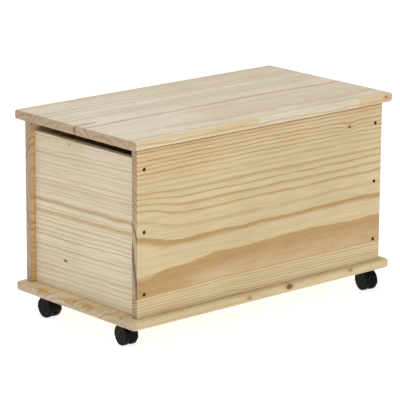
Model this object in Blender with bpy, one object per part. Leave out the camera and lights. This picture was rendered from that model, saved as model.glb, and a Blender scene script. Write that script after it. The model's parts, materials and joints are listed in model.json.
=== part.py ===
"""Pine toy box on four twin-wheel casters, with a lid that lifts on two hinges at the back.

X runs along the box, Y from front to back and Z up. The origin is on the floor, under the
middle of the box. Every length is in metres.
"""

import math

import bmesh
import bpy
from mathutils import Matrix, Vector

MM = 0.001

# What touches or is cut by its neighbour keeps this much to it.
GAP = 0.3 * MM

# Base and lid, two equal boards that stand proud of the walls all round.
SLAB_LENGTH = 744 * MM
SLAB_DEPTH = 400 * MM
SLAB_THICKNESS = 20 * MM
SLAB_CORNER_RADIUS = 10 * MM
SLAB_EDGE_RADIUS = 6 * MM
BASE_UNDERSIDE = 51 * MM
LID_SEAM = 2 * MM

# The four walls. The ends stand between the long walls, a little in from their ends,
# and stop short of the lid, which leaves a hand gap under it.
WALL_LENGTH = 704 * MM
WALL_HEIGHT = 357 * MM
WALL_THICKNESS = 16 * MM
BOX_DEPTH = 370 * MM
END_THICKNESS = 14 * MM
END_RECESS = 13 * MM
HAND_GAP = 25 * MM
BOARD_EASE = 0.8 * MM

# Heights and places that follow from the boards.
BASE_TOP = BASE_UNDERSIDE + SLAB_THICKNESS
WALL_BOTTOM = BASE_TOP + GAP
WALL_TOP = BASE_TOP + WALL_HEIGHT
LID_UNDERSIDE = WALL_TOP + LID_SEAM
LID_TOP = LID_UNDERSIDE + SLAB_THICKNESS
END_TOP = LID_UNDERSIDE - HAND_GAP
END_OUTER_FACE = WALL_LENGTH / 2 - END_RECESS
END_MIDDLE = END_OUTER_FACE - END_THICKNESS / 2
WALL_MIDDLE = BOX_DEPTH / 2 - WALL_THICKNESS / 2

# Screws as (head radius, head height, shank radius, length), heads sunk below the face.
SCREW_SINK = 0.8 * MM
SCREW_SIDES = 8
WALL_SCREW = (3.8 * MM, 2.8 * MM, 1.8 * MM, 38 * MM)
BASE_SCREW = (3.8 * MM, 2.8 * MM, 1.8 * MM, 46 * MM)
HINGE_SCREW = (2.3 * MM, 1.1 * MM, 1.2 * MM, 12 * MM)
PLATE_SCREW = (3.2 * MM, 2.2 * MM, 1.6 * MM, 15 * MM)
WALL_SCREW_HEIGHTS = (120.5 * MM, 253 * MM, 385 * MM)
BASE_SCREW_XS = (-280 * MM, 0.0, 280 * MM)
BASE_SCREW_YS = (-90 * MM, 90 * MM)

# Butt hinges: the box leaf on the back wall's outer face, the lid leaf under the lid.
HINGE_X = 230 * MM
HINGE_WIDTH = 50 * MM
LEAF_LENGTH = 32 * MM
LEAF_THICKNESS = 1.2 * MM
KNUCKLE_RADIUS = 2.8 * MM
KNUCKLE_COUNT = 5
KNUCKLE_SPACE = 0.4 * MM
HINGE_PIN_RADIUS = 1.3 * MM
HINGE_SIDES = 10
HINGE_SCREW_PLACES = ((-17 * MM, 12 * MM), (0.0, 23 * MM), (17 * MM, 12 * MM))
HINGE_Y = BOX_DEPTH / 2 + GAP + KNUCKLE_RADIUS
HINGE_Z = LID_UNDERSIDE - GAP - KNUCKLE_RADIUS

BUMPER_RADIUS = 5 * MM
BUMPER_X = 325 * MM
BUMPER_SIDES = 12

# Twin-wheel casters. Each turns about a king pin, and its axle trails behind the pin.
CASTER_X = 335 * MM
CASTER_Y = 148 * MM
TRAIL = 20 * MM
WHEEL_RADIUS = 22 * MM
WHEEL_SIDES = 24
PIN_SIDES = 12
WHEEL_INNER_FACE = 4.2 * MM
WHEEL_OUTER_FACE = 15.5 * MM
AXLE_RADIUS = 2 * MM
AXLE_HALF_LENGTH = 12.2 * MM
HOOD_RADIUS = 24 * MM
HOOD_INNER_RADIUS = 22.8 * MM
HOOD_HALF_WIDTH = 14.8 * MM
HOOD_WEB_HALF = 3.5 * MM
HOOD_SKIRT = 5.4 * MM
SOCKET_RADIUS = 7.5 * MM
SOCKET_TOP = 46.4 * MM
SOCKET_BOTTOM = 31 * MM
PIN_RADIUS = 2 * MM
PIN_BOTTOM = 25 * MM
PIN_COLLAR_RADIUS = 6.5 * MM
PIN_NECK_RADIUS = 3 * MM
PLATE_SIZE = 38 * MM
PLATE_THICKNESS = 2.5 * MM
PLATE_CORNER_RADIUS = 4 * MM
PLATE_HOLE_OFFSET = 13 * MM
PLATE_TOP = BASE_UNDERSIDE - GAP
PLATE_BOTTOM = PLATE_TOP - PLATE_THICKNESS

# Each caster's place, as signs of X and Y, and how far its trail is turned from +Y.
CASTERS = {
    "front_left": (-1, -1, -6.0),
    "back_left": (-1, 1, 181.0),
    "front_right": (1, -1, 171.0),
    "back_right": (1, 1, 12.0),
}

PINE = ("pine", (0.78, 0.62, 0.42), 0.55, 0.0)
DARK_SCREW = ("dark_bronze_screw", (0.09, 0.07, 0.05), 0.4, 0.9)
ZINC = ("zinc_steel", (0.62, 0.62, 0.60), 0.35, 1.0)
BLACK_PLASTIC = ("black_plastic", (0.02, 0.02, 0.02), 0.45, 0.0)
CLEAR_RUBBER = ("clear_rubber", (0.75, 0.74, 0.70), 0.5, 0.0)


# ---------------------------------------------------------------- objects and materials

def clear_scene():
    for old in list(bpy.data.objects):
        bpy.data.objects.remove(old, do_unlink=True)


def material(finish):
    """The Principled material of a (name, colour, roughness, metallic) finish."""
    name, colour, roughness, metallic = finish
    found = bpy.data.materials.get(name)
    if found:
        return found
    made = bpy.data.materials.new(name)
    made.use_nodes = True
    shader = made.node_tree.nodes["Principled BSDF"]
    shader.inputs["Base Color"].default_value = (*colour, 1.0)
    shader.inputs["Roughness"].default_value = roughness
    shader.inputs["Metallic"].default_value = metallic
    return made


def add_object(name, bm, finish, parent=None, location=(0, 0, 0), smooth=False):
    bmesh.ops.recalc_face_normals(bm, faces=bm.faces)
    mesh = bpy.data.meshes.new(name)
    bm.to_mesh(mesh)
    bm.free()
    if smooth:
        mesh.shade_smooth()
        mesh.set_sharp_from_angle(angle=math.radians(35))
    mesh.materials.append(material(finish))
    made = bpy.data.objects.new(name, mesh)
    made.parent = parent
    made.location = location
    bpy.context.scene.collection.objects.link(made)
    return made


def add_cutter(name, bm, parent=None):
    cutter = add_object(name, bm, PINE, parent=parent)
    cutter.hide_render = True
    cutter.display_type = "WIRE"
    return cutter


def combine(target, operand, operation="DIFFERENCE", solver="EXACT"):
    step = target.modifiers.new(operation.lower() + "_" + operand.name, "BOOLEAN")
    step.operation = operation
    step.object = operand
    step.solver = solver


# ---------------------------------------------------------------- basic shapes

def box(bm, low, high):
    """Add a closed box between two corners and return its vertices."""
    middle = (Vector(low) + Vector(high)) / 2
    size = Vector(high) - Vector(low)
    place = Matrix.Translation(middle) @ Matrix.Diagonal((*size, 1.0))
    return bmesh.ops.create_cube(bm, size=1.0, matrix=place)["verts"]


def round_edges(bm, edges, radius, segments):
    bmesh.ops.bevel(bm, geom=edges, offset=radius, offset_type="OFFSET", segments=segments,
                    profile=0.5, affect="EDGES", clamp_overlap=True)


def upright(edge):
    run = edge.verts[0].co - edge.verts[1].co
    return abs(run.z) > 10 * max(abs(run.x), abs(run.y))


def slab(bottom):
    """The base or lid board: round corners in plan, and all round a round-over."""
    bm = bmesh.new()
    half = Vector((SLAB_LENGTH / 2, SLAB_DEPTH / 2, 0))
    box(bm, (-half.x, -half.y, bottom), (half.x, half.y, bottom + SLAB_THICKNESS))
    round_edges(bm, [edge for edge in bm.edges if upright(edge)], SLAB_CORNER_RADIUS, 3)
    round_edges(bm, [edge for edge in bm.edges if not upright(edge)], SLAB_EDGE_RADIUS, 3)
    return bm


def eased_board(low, high):
    bm = bmesh.new()
    box(bm, low, high)
    round_edges(bm, list(bm.edges), BOARD_EASE, 1)
    return bm


def lathe(bm, profile, sides, place=None):
    """Turn a profile of (radius, height) points about Z, then move it by a matrix."""
    points = [bm.verts.new((radius, 0.0, height)) for radius, height in profile]
    edges = [bm.edges.new(pair) for pair in zip(points, points[1:])]
    turned = bmesh.ops.spin(bm, geom=points + edges, cent=(0, 0, 0), axis=(0, 0, 1),
                            dvec=(0, 0, 0), angle=math.tau, steps=sides, use_merge=True)
    around = {item for item in turned["geom_last"] if isinstance(item, bmesh.types.BMVert)}
    around.update(points)
    shape = set()
    for vert in around:
        shape.update(connected(vert))
    bmesh.ops.remove_doubles(bm, verts=list(shape), dist=1e-7)
    kept = [vert for vert in shape if vert.is_valid]
    if place is not None:
        bmesh.ops.transform(bm, matrix=place, verts=kept)
    return kept


def connected(start):
    """All vertices that edges join to one vertex."""
    found, waiting = {start}, [start]
    while waiting:
        for edge in waiting.pop().link_edges:
            for vert in edge.verts:
                if vert not in found:
                    found.add(vert)
                    waiting.append(vert)
    return found


def aim(point, direction):
    """A matrix that takes +Z at the origin to a direction at a point."""
    turn = Vector((0, 0, 1)).rotation_difference(Vector(direction))
    return Matrix.Translation(Vector(point)) @ turn.to_matrix().to_4x4()


def along_x(place_y=0.0, place_z=0.0):
    """A matrix that lays a lathe's axis along X, through a place in the YZ plane."""
    return aim((0, place_y, place_z), (1, 0, 0))


# ---------------------------------------------------------------- screws

def screw_profile(size):
    """A countersunk screw that points up +Z, with the face of its head at zero."""
    head_radius, head_height, shank_radius, length = size
    return ((0.0, 0.0), (head_radius, 0.0), (shank_radius, head_height),
            (shank_radius, length - 2 * shank_radius), (0.0, length))


def hole_profile(size):
    """The hole for that screw, wider by the gap and open past the head."""
    head_radius, head_height, shank_radius, length = size
    opening = -SCREW_SINK - 2 * MM
    return ((0.0, opening), (head_radius + GAP, opening), (head_radius + GAP, GAP / 2),
            (shank_radius + GAP, head_height + GAP / 2), (shank_radius + GAP, length),
            (0.0, length + GAP))


def screw(name, size, place, finish):
    bm = bmesh.new()
    lathe(bm, screw_profile(size), SCREW_SIDES, aim(*place))
    return add_object(name, bm, finish, smooth=True)


def drill(name, size, places, boards):
    """Cut the screws' holes through every board that they pass."""
    bm = bmesh.new()
    for place in places:
        lathe(bm, hole_profile(size), SCREW_SIDES, aim(*place))
    cutter = add_cutter(name, bm)
    for board in boards:
        combine(board, cutter)


# ---------------------------------------------------------------- the wooden box

def make_boards():
    boards = {
        "base_board": add_object("base_board", slab(BASE_UNDERSIDE), PINE),
        "lid": add_object("lid", slab(0.0), PINE, location=(0, 0, LID_UNDERSIDE)),
    }
    half_length = WALL_LENGTH / 2
    outer, inner = BOX_DEPTH / 2, BOX_DEPTH / 2 - WALL_THICKNESS
    for name, near, far in (("front_panel", -outer, -inner), ("back_panel", inner, outer)):
        wall = eased_board((-half_length, near, WALL_BOTTOM), (half_length, far, WALL_TOP))
        boards[name] = add_object(name, wall, PINE)
    for name, side in (("left_end_panel", -1), ("right_end_panel", 1)):
        across = sorted((side * END_OUTER_FACE, side * (END_OUTER_FACE - END_THICKNESS)))
        reach = inner - GAP
        end = eased_board((across[0], -reach, WALL_BOTTOM), (across[1], reach, END_TOP))
        boards[name] = add_object(name, end, PINE)
    return boards


def fasten_walls(boards):
    """Screws through the long walls into the ends, and up through the base into all four."""
    ends = [boards["left_end_panel"], boards["right_end_panel"]]
    for wall, side in (("front", -1), ("back", 1)):
        face = side * (BOX_DEPTH / 2 - SCREW_SINK)
        places = []
        for end, end_side in (("left", -1), ("right", 1)):
            for number, height in enumerate(WALL_SCREW_HEIGHTS, start=1):
                places.append(((end_side * END_MIDDLE, face, height), (0, -side, 0)))
                screw(f"{wall}_screw_{end}_{number}", WALL_SCREW, places[-1], DARK_SCREW)
        drill(wall + "_screw_holes", WALL_SCREW, places, [boards[wall + "_panel"], *ends])
    rows = {
        "front": [(x, -WALL_MIDDLE) for x in BASE_SCREW_XS],
        "back": [(x, WALL_MIDDLE) for x in BASE_SCREW_XS],
        "left": [(-END_MIDDLE, y) for y in BASE_SCREW_YS],
        "right": [(END_MIDDLE, y) for y in BASE_SCREW_YS],
    }
    places = []
    for row, spots in rows.items():
        for number, (x, y) in enumerate(spots, start=1):
            places.append(((x, y, BASE_UNDERSIDE + SCREW_SINK), (0, 0, 1)))
            screw(f"base_screw_{row}_{number}", BASE_SCREW, places[-1], DARK_SCREW)
    walls = [board for name, board in boards.items() if name != "lid"]
    drill("base_screw_holes", BASE_SCREW, places, walls)


def make_bumpers():
    """Two soft pads on the front wall's top edge, which the shut lid comes down on."""
    height = LID_SEAM - 2 * GAP
    for name, side in (("left_bumper", -1), ("right_bumper", 1)):
        bm = bmesh.new()
        lathe(bm, ((0, 0), (BUMPER_RADIUS, 0), (0.85 * BUMPER_RADIUS, height), (0, height)),
              BUMPER_SIDES, Matrix.Translation((side * BUMPER_X, -WALL_MIDDLE, WALL_TOP + GAP)))
        add_object(name, bm, CLEAR_RUBBER, smooth=True)


# ---------------------------------------------------------------- hinges

def knuckle_spans(first):
    """The stretches of the pin that one leaf's knuckles wrap, every second one."""
    pitch = HINGE_WIDTH / KNUCKLE_COUNT
    starts = [index * pitch - HINGE_WIDTH / 2 for index in range(first, KNUCKLE_COUNT, 2)]
    return [(start + KNUCKLE_SPACE / 2, start + pitch - KNUCKLE_SPACE / 2) for start in starts]


def knuckles(bm, spans):
    """Rolled knuckles about X, each with a tail that runs along +Y into the leaf."""
    reach = KNUCKLE_RADIUS + 2 * MM
    low = KNUCKLE_RADIUS - LEAF_THICKNESS
    start = math.asin(low / KNUCKLE_RADIUS)
    sweep = math.tau - (math.pi / 2 - start)
    outline = [(reach, KNUCKLE_RADIUS)]
    for step in range(HINGE_SIDES + 1):
        angle = math.pi / 2 + sweep * step / HINGE_SIDES
        outline.append((KNUCKLE_RADIUS * math.cos(angle), KNUCKLE_RADIUS * math.sin(angle)))
    outline.append((reach, low))
    for near, far in spans:
        face = bm.faces.new([bm.verts.new((near, y, z)) for y, z in outline])
        pushed = bmesh.ops.extrude_face_region(bm, geom=[face])["geom"]
        moved = [item for item in pushed if isinstance(item, bmesh.types.BMVert)]
        bmesh.ops.translate(bm, vec=(far - near, 0, 0), verts=moved)


def make_leaf(name, first_knuckle, middle, turn):
    """A leaf that runs along +Y from the pin with its outer face up, then turned into place."""
    plate = bmesh.new()
    start = KNUCKLE_RADIUS + 0.8 * MM
    low = KNUCKLE_RADIUS - LEAF_THICKNESS
    box(plate, (-HINGE_WIDTH / 2, start, low), (HINGE_WIDTH / 2, LEAF_LENGTH, KNUCKLE_RADIUS))
    leaf = add_object(name, plate, ZINC, smooth=True)
    rolls = bmesh.new()
    knuckles(rolls, knuckle_spans(first_knuckle))
    bore = bmesh.new()
    length = HINGE_WIDTH / 2 + 2 * MM
    lathe(bore, ((0, -length), (HINGE_PIN_RADIUS + GAP, -length),
                 (HINGE_PIN_RADIUS + GAP, length), (0, length)), HINGE_SIDES, along_x())
    roll_tool = add_cutter(name + "_rolls", rolls)
    bore_tool = add_cutter(name + "_bore", bore)
    combine(leaf, roll_tool, "UNION")
    combine(leaf, bore_tool)
    for item in (leaf, roll_tool, bore_tool):
        item.location = middle
        item.rotation_euler = turn
    return leaf


def make_hinges():
    """Two hinges; each one's lid leaf points forward and its box leaf points down."""
    for name, side in (("left_hinge", -1), ("right_hinge", 1)):
        middle = (side * HINGE_X, HINGE_Y, HINGE_Z)
        lid_leaf = make_leaf(name + "_lid_leaf", 1, middle, (0, 0, math.pi))
        box_leaf = make_leaf(name + "_box_leaf", 0, middle, (-math.pi / 2, 0, math.pi))
        pin = bmesh.new()
        length = HINGE_WIDTH / 2
        lathe(pin, ((0, -length), (HINGE_PIN_RADIUS, -length), (HINGE_PIN_RADIUS, length),
                    (0, length)), HINGE_SIDES, along_x())
        add_object(name + "_pin", pin, ZINC, location=middle, smooth=True)
        low = HINGE_Z + KNUCKLE_RADIUS - LEAF_THICKNESS
        lid_places = [((side * HINGE_X + along, HINGE_Y - out, low), (0, 0, 1))
                      for along, out in HINGE_SCREW_PLACES]
        drill(name + "_lid_holes", HINGE_SCREW, lid_places, [lid_leaf])
        rear = HINGE_Y - KNUCKLE_RADIUS + LEAF_THICKNESS
        box_places = [((side * HINGE_X + along, rear, HINGE_Z - out), (0, -1, 0))
                      for along, out in HINGE_SCREW_PLACES]
        drill(name + "_box_holes", HINGE_SCREW, box_places, [box_leaf])


# ---------------------------------------------------------------- casters

def hood_solid():
    """The hood before its wheel wells are cut: a thick disc with its underside cut off."""
    bm = bmesh.new()
    ease = 0.8 * MM
    lathe(bm, ((0, -HOOD_HALF_WIDTH), (HOOD_RADIUS - ease, -HOOD_HALF_WIDTH),
               (HOOD_RADIUS, ease - HOOD_HALF_WIDTH), (HOOD_RADIUS, HOOD_HALF_WIDTH - ease),
               (HOOD_RADIUS - ease, HOOD_HALF_WIDTH), (0, HOOD_HALF_WIDTH)), WHEEL_SIDES,
          along_x(TRAIL, WHEEL_RADIUS))
    everything = list(bm.verts) + list(bm.edges) + list(bm.faces)
    cut = bmesh.ops.bisect_plane(bm, geom=everything, clear_inner=True, plane_no=(0, 0, 1),
                                 plane_co=(0, 0, WHEEL_RADIUS - HOOD_SKIRT))
    rim = [item for item in cut["geom_cut"] if isinstance(item, bmesh.types.BMEdge)]
    bmesh.ops.contextual_create(bm, geom=rim)
    return bm


def socket_solid():
    bm = bmesh.new()
    lathe(bm, ((0, SOCKET_BOTTOM), (0.7 * SOCKET_RADIUS, SOCKET_BOTTOM + 1 * MM),
               (SOCKET_RADIUS, SOCKET_BOTTOM + 5 * MM), (SOCKET_RADIUS, SOCKET_TOP - 0.6 * MM),
               (SOCKET_RADIUS - 0.6 * MM, SOCKET_TOP), (0, SOCKET_TOP)), PIN_SIDES)
    return bm


def hood_hollows():
    """The wheel wells on both sides of the web, and the bores for the pin and the axle."""
    wells = bmesh.new()
    outside = HOOD_HALF_WIDTH + 8 * MM
    for side in (-1, 1):
        ring = sorted((side * HOOD_WEB_HALF, side * outside))
        lathe(wells, ((0, ring[0]), (HOOD_INNER_RADIUS, ring[0]), (HOOD_INNER_RADIUS, ring[1]),
                      (0, ring[1])), WHEEL_SIDES, along_x(TRAIL, WHEEL_RADIUS))
    bores = bmesh.new()
    bore = PIN_RADIUS + GAP
    lathe(bores, ((0, PIN_BOTTOM - GAP), (bore, PIN_BOTTOM - GAP), (bore, SOCKET_TOP + MM),
                  (0, SOCKET_TOP + MM)), PIN_SIDES)
    bore = AXLE_RADIUS + GAP
    reach = HOOD_WEB_HALF + MM
    lathe(bores, ((0, -reach), (bore, -reach), (bore, reach), (0, reach)), PIN_SIDES,
          along_x(TRAIL, WHEEL_RADIUS))
    return wells, bores


def make_hood(name, pivot):
    hood = add_object(name + "_hood", hood_solid(), BLACK_PLASTIC, parent=pivot, smooth=True)
    wells, bores = hood_hollows()
    combine(hood, add_cutter(name + "_socket_solid", socket_solid(), pivot), "UNION", "MANIFOLD")
    combine(hood, add_cutter(name + "_wheel_wells", wells, pivot), solver="MANIFOLD")
    combine(hood, add_cutter(name + "_bores", bores, pivot), solver="MANIFOLD")


def wheel_mesh(side):
    """A wheel with a blind bore, centred on its own axle."""
    bore = AXLE_RADIUS + GAP
    profile = ((0.0, AXLE_HALF_LENGTH + GAP), (bore, AXLE_HALF_LENGTH + GAP),
               (bore, WHEEL_INNER_FACE), (WHEEL_RADIUS - 1.2 * MM, WHEEL_INNER_FACE),
               (WHEEL_RADIUS, WHEEL_INNER_FACE + 1.2 * MM),
               (WHEEL_RADIUS, WHEEL_OUTER_FACE - 1.8 * MM),
               (WHEEL_RADIUS - 0.6 * MM, WHEEL_OUTER_FACE - 0.6 * MM),
               (WHEEL_RADIUS - 2.2 * MM, WHEEL_OUTER_FACE), (0.0, WHEEL_OUTER_FACE))
    bm = bmesh.new()
    lathe(bm, profile, WHEEL_SIDES, aim((0, 0, 0), (side, 0, 0)))
    return bm


def make_pin(name, pivot):
    """The king pin: a stem in the hood, a collar, and a neck riveted in the plate."""
    bm = bmesh.new()
    collar_bottom, collar_top = SOCKET_TOP + GAP, PLATE_BOTTOM - GAP
    lathe(bm, ((0, PIN_BOTTOM), (PIN_RADIUS, PIN_BOTTOM + 0.5 * MM), (PIN_RADIUS, collar_bottom),
               (PIN_COLLAR_RADIUS, collar_bottom), (PIN_COLLAR_RADIUS, collar_top),
               (PIN_NECK_RADIUS, collar_top), (PIN_NECK_RADIUS, PLATE_TOP - GAP),
               (0, PLATE_TOP - GAP)), PIN_SIDES)
    add_object(name + "_king_pin", bm, ZINC, location=pivot.location, smooth=True)


def make_plate(name, pivot):
    bm = bmesh.new()
    half = PLATE_SIZE / 2
    box(bm, (-half, -half, PLATE_BOTTOM), (half, half, PLATE_TOP))
    round_edges(bm, [edge for edge in bm.edges if upright(edge)], PLATE_CORNER_RADIUS, 2)
    plate = add_object(name + "_plate", bm, ZINC, location=pivot.location, smooth=True)
    neck = bmesh.new()
    bore = PIN_NECK_RADIUS + GAP
    lathe(neck, ((0, PLATE_BOTTOM - MM), (bore, PLATE_BOTTOM - MM), (bore, PLATE_TOP + MM),
                 (0, PLATE_TOP + MM)), PIN_SIDES, Matrix.Translation(pivot.location))
    combine(plate, add_cutter(name + "_neck_hole", neck))
    centre = pivot.location
    places = [((centre.x + x * PLATE_HOLE_OFFSET, centre.y + y * PLATE_HOLE_OFFSET,
                PLATE_BOTTOM + GAP / 2), (0, 0, 1)) for x in (-1, 1) for y in (-1, 1)]
    drill(name + "_plate_holes", PLATE_SCREW, places, [plate])


def make_caster(corner):
    """One caster; its empty stands on the king pin's axis and is turned with the hood."""
    side_x, side_y, turn = CASTERS[corner]
    name = corner + "_caster"
    pivot = bpy.data.objects.new(name + "_pivot", None)
    pivot.location = (side_x * CASTER_X, side_y * CASTER_Y, 0)
    pivot.rotation_euler = (0, 0, math.radians(turn))
    bpy.context.scene.collection.objects.link(pivot)
    make_hood(name, pivot)
    axle = bmesh.new()
    lathe(axle, ((0, -AXLE_HALF_LENGTH), (AXLE_RADIUS, -AXLE_HALF_LENGTH),
                 (AXLE_RADIUS, AXLE_HALF_LENGTH), (0, AXLE_HALF_LENGTH)), PIN_SIDES, along_x())
    hub = (0, TRAIL, WHEEL_RADIUS)
    add_object(name + "_axle", axle, ZINC, parent=pivot, location=hub, smooth=True)
    for wheel, side in (("wheel_a", -1), ("wheel_b", 1)):
        add_object(name + "_" + wheel, wheel_mesh(side), BLACK_PLASTIC, parent=pivot,
                   location=hub, smooth=True)
    make_pin(name, pivot)
    make_plate(name, pivot)


def main():
    clear_scene()
    boards = make_boards()
    fasten_walls(boards)
    make_bumpers()
    make_hinges()
    for corner in CASTERS:
        make_caster(corner)


main()
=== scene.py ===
"""The looks of a pine toy box: boards, screws, hinges, bumpers and twin-wheel casters.

Lengths are in metres. X runs along the box, Y from front to back and Z up.
"""

import json
import logging
import math
from dataclasses import dataclass, replace
from enum import Enum
from typing import Callable, Sequence, Union

import bpy
from mathutils import Matrix, Quaternion, Vector

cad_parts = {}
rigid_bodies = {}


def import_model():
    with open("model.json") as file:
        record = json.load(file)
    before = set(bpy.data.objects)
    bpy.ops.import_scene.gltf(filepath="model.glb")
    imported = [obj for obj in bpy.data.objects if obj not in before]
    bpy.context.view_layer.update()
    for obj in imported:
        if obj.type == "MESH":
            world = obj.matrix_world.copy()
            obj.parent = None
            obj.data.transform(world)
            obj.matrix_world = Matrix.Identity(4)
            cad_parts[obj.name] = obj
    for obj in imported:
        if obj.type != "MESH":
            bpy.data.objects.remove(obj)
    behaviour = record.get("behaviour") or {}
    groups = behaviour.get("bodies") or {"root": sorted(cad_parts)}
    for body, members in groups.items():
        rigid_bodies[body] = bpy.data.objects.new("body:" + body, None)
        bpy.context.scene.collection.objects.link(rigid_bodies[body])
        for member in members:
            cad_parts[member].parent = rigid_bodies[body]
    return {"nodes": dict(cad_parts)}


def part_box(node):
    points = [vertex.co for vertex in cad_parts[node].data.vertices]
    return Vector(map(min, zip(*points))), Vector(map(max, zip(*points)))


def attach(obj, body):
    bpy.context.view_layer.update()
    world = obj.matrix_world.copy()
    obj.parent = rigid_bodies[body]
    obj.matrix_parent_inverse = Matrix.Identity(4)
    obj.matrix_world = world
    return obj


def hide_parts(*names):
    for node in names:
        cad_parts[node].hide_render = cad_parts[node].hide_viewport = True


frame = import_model()

logging.basicConfig(level=logging.INFO, format="%(message)s")
LOG = logging.getLogger("toy_box")

MM = 0.001
Socket = bpy.types.NodeSocket
Value = Union[float, Sequence[float], Socket]
Colour = tuple[float, float, float]
Point = tuple[float, float, float]
Profile = Sequence[tuple[float, float]]


# ---------------------------------------------------------------- modelling by hand tools

def only(piece: bpy.types.Object) -> None:
    """Make one object the active one and the only one selected.

    Args:
        piece: The object to work on.
    """
    if bpy.context.mode != "OBJECT":
        bpy.ops.object.mode_set(mode="OBJECT")
    for other in bpy.context.scene.objects:
        other.select_set(False)
    piece.select_set(True)
    bpy.context.view_layer.objects.active = piece


def place_in_mesh(piece: bpy.types.Object, matrix: Matrix | None = None) -> bpy.types.Object:
    """Move an object, then put its place, turn and scale into its mesh.

    Args:
        piece: The object.
        matrix: Where it goes first, or None to leave it where it is.

    Returns:
        The same object, at the origin.
    """
    only(piece)
    if matrix is not None:
        piece.matrix_world = matrix @ piece.matrix_world
    bpy.ops.object.transform_apply(location=True, rotation=True, scale=True)
    return piece


def block(name: str, low: Sequence[float], high: Sequence[float]) -> bpy.types.Object:
    """Add a box between two corners.

    Args:
        name: The object's name.
        low: Lowest corner.
        high: Highest corner.

    Returns:
        The new object.
    """
    bpy.ops.object.select_all(action="DESELECT")
    middle = (Vector(low) + Vector(high)) / 2
    bpy.ops.mesh.primitive_cube_add(size=1.0, location=middle, scale=Vector(high) - Vector(low))
    made = bpy.context.object
    made.name = name
    return place_in_mesh(made)


def pick_nothing(mesh: bpy.types.Mesh) -> None:
    """Unselect every part of a mesh."""
    for part in (*mesh.vertices, *mesh.edges, *mesh.polygons):
        part.select = False


def pick_edges(piece: bpy.types.Object, wanted: Callable[[Vector, Vector], bool]) -> None:
    """Enter edit mode with just the wanted edges selected.

    Args:
        piece: The object.
        wanted: Says of an edge's two ends whether it is wanted.
    """
    only(piece)
    mesh = piece.data
    pick_nothing(mesh)
    for edge in mesh.edges:
        first, second = (mesh.vertices[index].co for index in edge.vertices)
        edge.select = wanted(first, second)
    bpy.ops.object.mode_set(mode="EDIT")
    bpy.ops.mesh.select_mode(type="EDGE")


def round_off(piece: bpy.types.Object, wanted: Callable[[Vector, Vector], bool],
              radius: float, segments: int) -> None:
    """Round the wanted edges of a piece.

    Args:
        piece: The object.
        wanted: Says of an edge's two ends whether it is rounded.
        radius: Radius of the rounding.
        segments: How many faces go round it.
    """
    pick_edges(piece, wanted)
    bpy.ops.mesh.bevel(offset=radius, segments=segments, profile=0.5, affect="EDGES")
    bpy.ops.object.mode_set(mode="OBJECT")


def is_upright(first: Vector, second: Vector) -> bool:
    """Whether an edge runs along Z."""
    run = second - first
    return abs(run.z) > 10 * max(abs(run.x), abs(run.y))


def is_level(first: Vector, second: Vector) -> bool:
    """Whether an edge lies level."""
    return not is_upright(first, second)


def any_edge(_first: Vector, _second: Vector) -> bool:
    """Every edge is wanted."""
    return True


def turned(name: str, profile: Profile, sides: int) -> bpy.types.Object:
    """Draw up a closed round solid about Z, ring by ring, from a filled disc.

    Args:
        name: The object's name.
        profile: Points of (radius, height); the first is the disc it starts from.
        sides: How many sides each ring has.

    Returns:
        The new object.
    """
    bpy.ops.object.select_all(action="DESELECT")
    radius, height = profile[0]
    bpy.ops.mesh.primitive_circle_add(vertices=sides, radius=radius, fill_type="NGON",
                                      location=(0, 0, height))
    made = bpy.context.object
    made.name = name
    place_in_mesh(made)
    bpy.ops.object.mode_set(mode="EDIT")
    bpy.ops.mesh.select_mode(type="FACE")
    bpy.ops.mesh.select_all(action="SELECT")
    for next_radius, next_height in profile[1:]:
        bpy.ops.mesh.extrude_region_move(
            TRANSFORM_OT_translate={"value": (0, 0, next_height - height)})
        share = next_radius / radius
        bpy.ops.transform.resize(value=(share, share, 1), center_override=(0, 0, next_height))
        radius, height = next_radius, next_height
    bpy.ops.mesh.select_all(action="SELECT")
    bpy.ops.mesh.normals_make_consistent(inside=False)
    bpy.ops.object.mode_set(mode="OBJECT")
    return made


def combine(piece: bpy.types.Object, other: bpy.types.Object,
            operation: str = "DIFFERENCE", solver: str = "EXACT") -> None:
    """Cut one object from another, or join the two, and remove the second.

    Args:
        piece: The object that stays.
        other: The tool.
        operation: DIFFERENCE, UNION or INTERSECT.
        solver: The Boolean modifier's solver.
    """
    only(piece)
    step = piece.modifiers.new("combine", "BOOLEAN")
    step.operation = operation
    step.object = other
    step.solver = solver
    bpy.ops.object.modifier_apply(modifier=step.name)
    bpy.data.objects.remove(other, do_unlink=True)


def even_shading(piece: bpy.types.Object, degrees: float = 40.0) -> None:
    """Shade a piece smooth, with flat faces kept flat beside their roundings.

    Args:
        piece: The object.
        degrees: Edges sharper than this stay sharp.
    """
    only(piece)
    bpy.ops.object.shade_smooth_by_angle(angle=math.radians(degrees))
    step = piece.modifiers.new("even_shading", "WEIGHTED_NORMAL")
    step.keep_sharp = True
    bpy.ops.object.modifier_apply(modifier=step.name)


def copy_of(model: bpy.types.Object, name: str, matrix: Matrix) -> bpy.types.Object:
    """Copy a model, with a mesh of its own, to a place.

    Args:
        model: The finished model, at the origin.
        name: The copy's name.
        matrix: Where the copy goes.

    Returns:
        The copy.
    """
    made = bpy.data.objects.new(name, model.data.copy())
    bpy.context.scene.collection.objects.link(made)
    made.data.transform(matrix)
    return made


def forget(*models: bpy.types.Object) -> None:
    """Remove models and tools that are no longer needed."""
    for model in models:
        bpy.data.objects.remove(model, do_unlink=True)


def aim(point: Sequence[float], direction: Sequence[float]) -> Matrix:
    """A matrix that takes +Z at the origin to a direction at a point."""
    turn = Vector((0, 0, 1)).rotation_difference(Vector(direction))
    return Matrix.Translation(Vector(point)) @ turn.to_matrix().to_4x4()


def middle_of(node: str) -> Vector:
    """The middle of a CAD node's box."""
    low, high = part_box(node)
    return (low + high) / 2


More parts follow.
